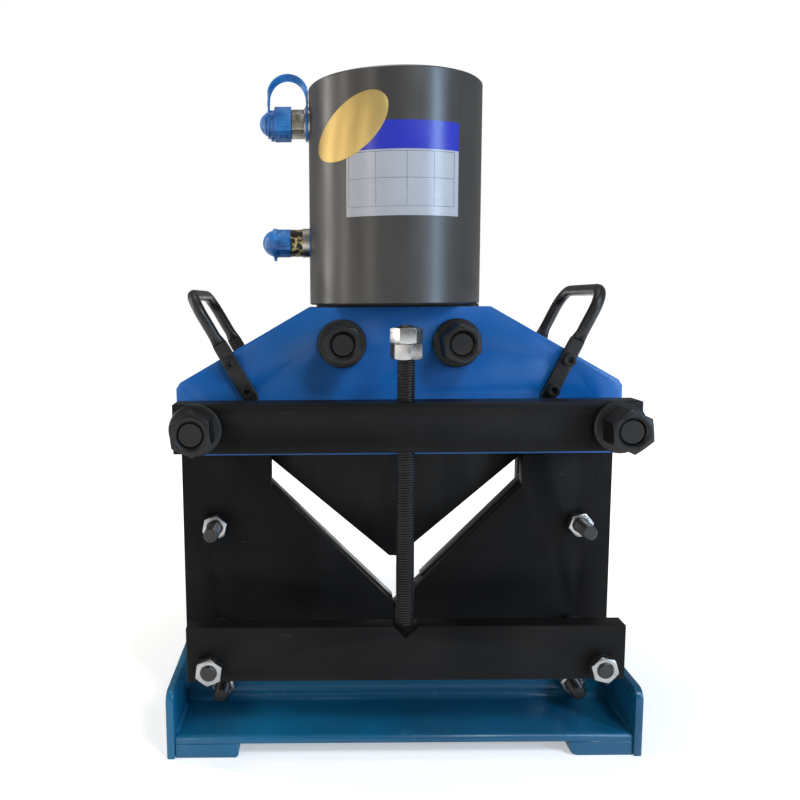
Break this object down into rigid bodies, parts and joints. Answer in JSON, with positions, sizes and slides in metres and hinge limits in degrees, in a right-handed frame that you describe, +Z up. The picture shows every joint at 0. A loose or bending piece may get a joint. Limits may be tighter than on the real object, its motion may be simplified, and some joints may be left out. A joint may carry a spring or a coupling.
{
  "type": "hydraulic angle iron cutter",
  "caption": "Free-standing hydraulic shear for angle iron: an upright cylinder drives a blade into a V window between thick plates, with hold-down screw, support bar and carrying handles.",
  "frame": {"origin": "middle of the machine's bounding box in plan, on the floor under the feet", "axes": "+Z up along the cylinder, -Y to the front where the hold-down screw is, +X to the right seen from the front"},
  "size_m": [0.478, 0.3116, 0.6949],
  "materials": {
    "blue_paint": "gloss enamel",
    "teal_paint": "gloss enamel, worn",
    "black_steel": "satin black",
    "blade_steel": "dark ground tool steel",
    "black_oxide": "black oxide",
    "zinc": "bright zinc",
    "black_paint": "satin black",
    "grey_paint": "smooth satin grey",
    "bronze": "turned",
    "black_rubber": "matte",
    "blue_seal": "smooth",
    "machined_steel": "machined",
    "hard_chrome": "ground and polished",
    "zinc_yellow": "dull zinc",
    "taped_brass": "thread covered with sealing tape",
    "blue_plastic": "moulded, slightly glossy",
    "white_label": "printed film",
    "gold_label": "metallic film"
  },
  "bodies": {
    "frame": {"front_head_plate": "blue_paint", "rear_head_plate": "blue_paint", "front_die_plate": "black_steel", "rear_die_plate": "black_steel", "left_guide": "black_steel", "right_guide": "black_steel", "bottom_spacer": "black_steel", "left_fixed_blade": "blade_steel", "right_fixed_blade": "blade_steel", "fixed_blade_screws": "black_oxide", "front_base_angle": "teal_paint", "rear_base_angle": "teal_paint", "left_end_plate": "teal_paint", "right_end_plate": "teal_paint", "left_foot_bar": "teal_paint", "right_foot_bar": "teal_paint", "cylinder_barrel": "grey_paint", "cylinder_foot": "grey_paint", "cylinder_cover": "grey_paint", "cover_seal": "black_rubber", "guide_bush": "bronze", "rod_seal": "blue_seal", "gland_ring": "machined_steel", "rod_wiper": "black_rubber", "head_studs": "black_oxide", "corner_studs": "black_oxide", "collar_nuts": "black_oxide", "crossbar": "black_steel", "crossbar_sleeves": "black_steel", "support_bar": "black_steel", "support_studs": "black_oxide", "die_studs": "black_oxide", "clamp_nuts": "zinc", "left_handle": "black_paint", "right_handle": "black_paint", "handle_screws": "black_oxide", "upper_coupling": "zinc_yellow", "upper_coupling_washer": "black_oxide", "lower_coupling": "taped_brass", "lower_coupling_collar": "zinc_yellow", "lower_strap_ring": "blue_plastic", "cap_strap": "blue_plastic", "table_label": "white_label", "oval_sticker": "gold_label"},
    "ram": {"piston_rod": "hard_chrome", "piston": "machined_steel", "piston_seal": "blue_seal", "piston_nut": "black_oxide", "blade_pin": "machined_steel", "moving_blade": "black_steel"},
    "hold_down": {"hold_down_screw": "black_oxide"},
    "jam_pair": {"jam_nuts": "zinc"},
    "upper_cap": {"upper_dust_cap": "blue_plastic"},
    "lower_cap": {"lower_dust_cap": "blue_plastic"}
  },
  "joints": [
    {"name": "ram_stroke", "type": "slide", "parent": "frame", "child": "ram", "axis": [0, 0, -1], "range_m": [0, 0.06]},
    {"name": "hold_down_feed", "type": "slide", "parent": "frame", "child": "hold_down", "axis": [0, 0, 1], "range_m": [-0.004, 0.165]},
    {"name": "hold_down_turn", "type": "hinge", "parent": "hold_down", "child": "jam_pair", "pos_m": [0, -0.10475, 0.418], "axis": [0, 0, 1], "range_deg": [-576, 23760]},
    {"name": "upper_cap_turn", "type": "hinge", "parent": "frame", "child": "upper_cap", "pos_m": [-0.12, 0.02425, 0.6455], "axis": [-1, 0, 0], "range_deg": [0, 1080]},
    {"name": "lower_cap_turn", "type": "hinge", "parent": "frame", "child": "lower_cap", "pos_m": [-0.12, 0.02425, 0.5202], "axis": [-1, 0, 0], "range_deg": [0, 1080]}
  ],
  "couplings": [
    {"joint": "hold_down_turn", "follows": "hold_down_feed", "rad_per_m": 2513.3}
  ]
}
